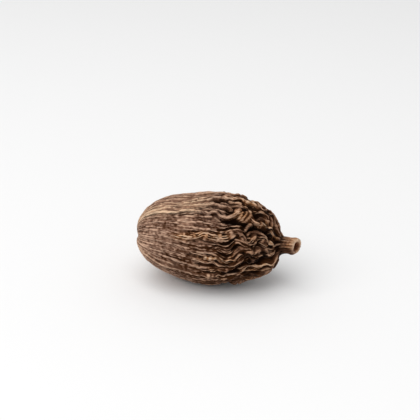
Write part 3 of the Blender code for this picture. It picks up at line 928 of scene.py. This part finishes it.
def husk_material(settings):
    """Dull dried husk: painted shade in its furrows and hollows, tan crests partly worn and partly
    painted highlight, streaked along its ribs.
    """
    material, tree, shader = new_material("dried_husk_skin")
    object_place = add_node(tree, "ShaderNodeTexCoord", (-1400, -400)).outputs["Object"]
    rib_place, *masks = (
        add_node(tree, "ShaderNodeAttribute", (-1400, 1080 - 180 * number), attribute_name=name)
        for number, name in enumerate(("rib_place", *MASKS))
    )
    masks = {name: mask.outputs["Fac"] for name, mask in zip(MASKS, masks)}

    along_ribs = add_node(tree, "ShaderNodeMapping", (-1150, -150))
    feed(tree, along_ribs.inputs["Vector"], rib_place.outputs["Vector"])
    feed(tree, along_ribs.inputs["Scale"], (0.28, 0.28, 0.2))
    streaks = noise_texture(tree, (-950, -150), along_ribs.outputs["Vector"], 1.0, 2.0)
    patches = noise_texture(tree, (-950, -400), object_place, 260.0, 2.0)
    flecks = noise_texture(tree, (-950, -650), object_place, 1400.0, 2.0)
    cracks = mix_values(tree, (-700, -150), "SUBTRACT", streaks, 0.5)
    cracks = mix_values(tree, (-560, -150), "ABSOLUTE", cracks)
    cracks = mix_values(tree, (-420, -150), "MULTIPLY", cracks, 24.0)
    cracks = mix_values(tree, (-280, -150), "MINIMUM", cracks, 1.0)

    # The tone starts paler on the crests: partly wear, partly painted highlight.
    tone_and_shade = mix_values(tree, (-1060, 100), "MULTIPLY_ADD", streaks, 0.9, masks["crest"])
    tone_and_shade = mix_values(tree, (-880, 100), "MULTIPLY_ADD", patches, 0.3, tone_and_shade)
    tone_and_shade = mix_values(tree, (-700, 100), "MULTIPLY_ADD", flecks, 1.0, tone_and_shade)
    # The shoulder's darker skin, and painted shade along the lower side.
    tone_and_shade = mix_values(tree, (-520, 100), "MULTIPLY_ADD", masks["shoulder"], -0.49, tone_and_shade)
    # Patches of painted light and shade, and of lighter or darker colour.
    tone_and_shade = mix_values(tree, (-340, 100), "ADD", tone_and_shade, masks["tone_and_shade"])
    tone_and_shade = mix_values(tree, (-220, 100), "SUBTRACT", tone_and_shade, 1.4)
    # Where each ramp's middle colour lies, and its colours in the dips, between and on the crests
    ramps = (
        (0.4, settings.shade_colour, settings.ochre_colour, settings.tan_crest_colour),
        (0.35, settings.skin_colour, settings.tan_colour, settings.tan_crest_colour),
        (0.35, settings.shade_colour, settings.skin_colour, settings.crest_colour),
        (0.35, settings.shade_colour, settings.burnt_colour, settings.burnt_crest_colour),
    )
    golden, tan, skin, burnt = (
        colour_ramp(tree, (-100, 250 * number), tone_and_shade, (0.0, middle, 0.95), colours)
        for number, (middle, *colours) in enumerate(ramps)
    )
    colour = mix_colours(tree, (100, 600), masks["shoulder"], skin, burnt)
    colour = mix_colours(tree, (200, 400), masks["pale"], colour, tan)
    colour = mix_colours(tree, (380, 400), masks["neck"], colour, tan)
    colour = mix_colours(tree, (560, 400), masks["ochre"], colour, golden)
    cracked = mix_values(tree, (200, 700), "MULTIPLY_ADD", cracks, -0.5, 0.5)
    body = mix_values(tree, (200, 850), "SUBTRACT", 1.0, masks["neck"])
    cracked = mix_values(tree, (380, 700), "MULTIPLY", cracked, body)
    # Painted shade: the creases and the deep valleys take the furrow colour.
    crease_shade = mix_values(tree, (560, 700), "MULTIPLY_ADD", masks["crease_shade"], 0.7, cracked, clamp=True)
    colour = mix_colours(tree, (740, 600), crease_shade, colour, settings.furrow_shade_colour)
    colour = mix_colours(tree, (920, 600), masks["deep_shade"], colour, settings.furrow_shade_colour)
    colour = mix_colours(tree, (1100, 600), masks["hollow"], colour, settings.hollow_colour)
    feed(tree, shader.inputs["Base Color"], colour)

    bump = add_node(tree, "ShaderNodeBump", (200, -250))
    grain = mix_values(tree, (-100, -300), "MULTIPLY_ADD", flecks, 0.8, cracks)
    for key, value in (("Height", grain), ("Distance", 0.1 * MM), ("Strength", 0.8)):
        feed(tree, bump.inputs[key], value)
    feed(tree, shader.inputs["Normal"], bump.outputs["Normal"])
    rough = add_node(tree, "ShaderNodeMapRange", (200, -50))
    for key, value in (("Value", masks["crest"]), ("To Min", 0.85), ("To Max", 0.55)):
        feed(tree, rough.inputs[key], value)
    feed(tree, shader.inputs["Roughness"], rough.outputs["Result"])
    gloss = mix_values(tree, (1100, 0), "MULTIPLY_ADD", masks["crest"], 0.25, 0.02)
    feed(tree, shader.inputs["Specular IOR Level"], gloss)
    shader.location = (1350, 300)
    tree.nodes["Material Output"].location = (1650, 300)
    return material


def floor_material(settings):
    """Matt white studio paper with a very faint mottle."""
    material, tree, shader = new_material("studio_paper")
    place = add_node(tree, "ShaderNodeTexCoord", (-800, 0))
    mottle = noise_texture(tree, (-600, 0), place.outputs["Object"], 9.0, 2.0)
    pale = settings.floor_colour
    colours = ([0.99 * value for value in pale], pale)
    paper = colour_ramp(tree, (-400, 0), mottle, (0.0, 1.0), colours)
    feed(tree, shader.inputs["Base Color"], paper)
    feed(tree, shader.inputs["Roughness"], 0.9)
    feed(tree, shader.inputs["Specular IOR Level"], 0.1)
    return material


def length_setting(name, description, millimetres):
    """A length in a PropertyGroup."""
    return FloatProperty(
        name=name,
        description=description,
        default=millimetres * MM,
        unit="LENGTH",
        precision=5,
    )


def colour_setting(name, description, *colour):
    """A colour in a PropertyGroup."""
    return FloatVectorProperty(
        name=name,
        description=description,
        subtype="COLOR",
        default=colour,
        min=0.0,
        max=1.0,
    )


class HuskSettings(bpy.types.PropertyGroup):
    """Sizes and colours of the husk."""

    ridge_height: length_setting("Ridge height", "How high a ridge stands on the shoulder", 1.4)
    ridge_width: length_setting("Ridge width", "Half the width of a ridge's crest", 0.3)
    wave_length: length_setting("Wave length", "Length of one wave of a ridge", 3.6)
    wave_width: length_setting("Wave width", "How far a ridge swings to each side", 0.42)
    lip_height: length_setting("Lip height", "How far one valve stands over the next", 0.45)
    strand_height: length_setting("Strand height", "Height of the strands between ridges", 0.42)
    grain_height: length_setting("Grain height", "Height of the beads and creases", 0.12)
    crumple: length_setting("Crumple", "Depth of the lumps on the shoulder", 0.28)
    # The furrow colour is the painted shade in the creases and deep valleys.
    furrow_shade_colour: colour_setting("Furrow colour", "Deep between the ribs", 0.01, 0.0035, 0.0012)
    shade_colour: colour_setting("Shade colour", "The husk's darker brown", 0.055, 0.019, 0.006)
    skin_colour: colour_setting("Skin colour", "The husk's skin", 0.225, 0.122, 0.081)
    # The crest colours are for worn crests, partly painted highlight.
    crest_colour: colour_setting("Crest colour", "Where the husk is worn", 0.54, 0.34, 0.235)
    burnt_colour: colour_setting("Burnt colour", "The shoulder's skin", 0.19, 0.086, 0.043)
    burnt_crest_colour: colour_setting(
        "Burnt crest colour", "Crests on the shoulder", 0.52, 0.3, 0.175
    )
    hollow_colour: colour_setting("Hollow colour", "Inside the stub", 0.2, 0.065, 0.03)
    tan_colour: colour_setting("Tan colour", "The paler valve and the neck", 0.4, 0.23, 0.145)
    tan_crest_colour: colour_setting("Tan crest colour", "Crests of the pale husk", 0.68, 0.46, 0.3)
    ochre_colour: colour_setting("Ochre colour", "The golden lumps", 0.42, 0.185, 0.068)


class StageSettings(bpy.types.PropertyGroup):
    """The studio's floor and light."""

    floor_colour: colour_setting("Floor colour", "The studio paper", 0.86, 0.86, 0.86)
    key_power: FloatProperty(
        name="Key light",
        description="Power of the large soft light",
        default=4.6,
        unit="POWER",
    )
    fill_strength: FloatProperty(
        name="Fill",
        description="Strength of the white surroundings",
        default=0.63,
    )


class CARDAMOM_OT_husk(bpy.types.Operator):
    """Model the pod's husk"""

    bl_idname = "cardamom.husk"
    bl_label = "Husk"
    bl_options = {"REGISTER", "UNDO"}

    def execute(self, context):
        settings = context.scene.cardamom_husk
        mesh = husk_mesh(settings)
        mesh.materials.append(husk_material(settings))
        husk = bpy.data.objects.new("pod_husk", mesh)
        context.scene.collection.objects.link(husk)
        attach(husk, "root")
        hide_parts(POD_NODE)
        return {"FINISHED"}


CAMERA_AZIMUTH = math.radians(8)
CAMERA_ELEVATION = math.radians(24)
CAMERA_LENS = 90.0
CAMERA_DISTANCE = 246.75 * MM
CAMERA_TARGET = Vector((-2.1, 0.0, 10.65)) * MM
PHOTO_SIDE = 420
TARGET_PIXEL = (209.8, 238.7)
KEY_PLACE, KEY_TARGET, KEY_SIZE = (-0.2, -0.27, 0.66), (0.0, 0.0, 0.01), 0.9
FLOOR_SIZE = 4.0


def add_camera(scene):
    """The camera where the photograph was taken from."""
    back = Vector(
        (
            math.sin(CAMERA_AZIMUTH) * math.cos(CAMERA_ELEVATION),
            -math.cos(CAMERA_AZIMUTH) * math.cos(CAMERA_ELEVATION),
            math.sin(CAMERA_ELEVATION),
        )
    )
    right = Vector((math.cos(CAMERA_AZIMUTH), math.sin(CAMERA_AZIMUTH), 0.0))
    up = back.cross(right)
    data = bpy.data.cameras.new("camera")
    data.lens = CAMERA_LENS
    focal_pixels = CAMERA_LENS / data.sensor_width * PHOTO_SIDE
    across = (TARGET_PIXEL[0] - PHOTO_SIDE / 2) / focal_pixels
    above = (PHOTO_SIDE / 2 - TARGET_PIXEL[1]) / focal_pixels
    data.clip_start = 0.01
    data.clip_end = 10.0
    camera = bpy.data.objects.new("camera", data)
    place = CAMERA_TARGET + CAMERA_DISTANCE * (back - right * across - up * above)
    turn = Matrix((right, up, back)).transposed().to_4x4()
    camera.matrix_world = Matrix.Translation(place) @ turn
    scene.collection.objects.link(camera)
    scene.camera = camera


def add_area_light(scene, name, place, target, size, power):
    """A square soft light at a place, facing a target."""
    data = bpy.data.lights.new(name, "AREA")
    data.shape = "SQUARE"
    data.size = size
    data.energy = power
    light = bpy.data.objects.new(name, data)
    turn = (Vector(target) - Vector(place)).to_track_quat("-Z", "Y")
    light.matrix_world = Matrix.Translation(place) @ turn.to_matrix().to_4x4()
    scene.collection.objects.link(light)


class CARDAMOM_OT_stage(bpy.types.Operator):
    """Lay the floor, light the studio and place the camera"""

    bl_idname = "cardamom.stage"
    bl_label = "Stage"
    bl_options = {"REGISTER", "UNDO"}

    def execute(self, context):
        scene = context.scene
        settings = scene.cardamom_stage
        paper = bmesh.new()
        bmesh.ops.create_grid(paper, x_segments=1, y_segments=1, size=FLOOR_SIZE)
        mesh = bpy.data.meshes.new("studio_floor")
        paper.to_mesh(mesh)
        paper.free()
        mesh.materials.append(floor_material(settings))
        floor = bpy.data.objects.new("studio_floor", mesh)
        scene.collection.objects.link(floor)

        world = bpy.data.worlds.new("studio")
        world.use_nodes = True
        background = world.node_tree.nodes["Background"]
        background.inputs["Color"].default_value = (1.0, 1.0, 1.0, 1.0)
        background.inputs["Strength"].default_value = settings.fill_strength
        scene.world = world
        add_area_light(scene, "key_light", KEY_PLACE, KEY_TARGET, KEY_SIZE, settings.key_power)
        scene.view_settings.view_transform = "Standard"
        add_camera(scene)
        return {"FINISHED"}


class CARDAMOM_PT_pod(bpy.types.Panel):
    """Lists the pod's pieces and settings"""

    bl_label = "Black cardamom pod"
    bl_space_type = "VIEW_3D"
    bl_region_type = "UI"
    bl_category = "Cardamom"

    def draw(self, context):
        for name, settings in (
            ("cardamom.husk", context.scene.cardamom_husk),
            ("cardamom.stage", context.scene.cardamom_stage),
        ):
            box = self.layout.box()
            box.operator(name)
            for key in settings.__annotations__:
                box.prop(settings, key)


CLASSES = (HuskSettings, StageSettings, CARDAMOM_OT_husk, CARDAMOM_OT_stage, CARDAMOM_PT_pod)


def register():
    for cls in CLASSES:
        bpy.utils.register_class(cls)
    bpy.types.Scene.cardamom_husk = PointerProperty(type=HuskSettings)
    bpy.types.Scene.cardamom_stage = PointerProperty(type=StageSettings)


def unregister():
    del bpy.types.Scene.cardamom_stage
    del bpy.types.Scene.cardamom_husk
    for cls in reversed(CLASSES):
        bpy.utils.unregister_class(cls)


def main():
    register()
    bpy.ops.cardamom.stage()
    bpy.ops.cardamom.husk()
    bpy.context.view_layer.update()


if __name__ == "__main__":
    main()
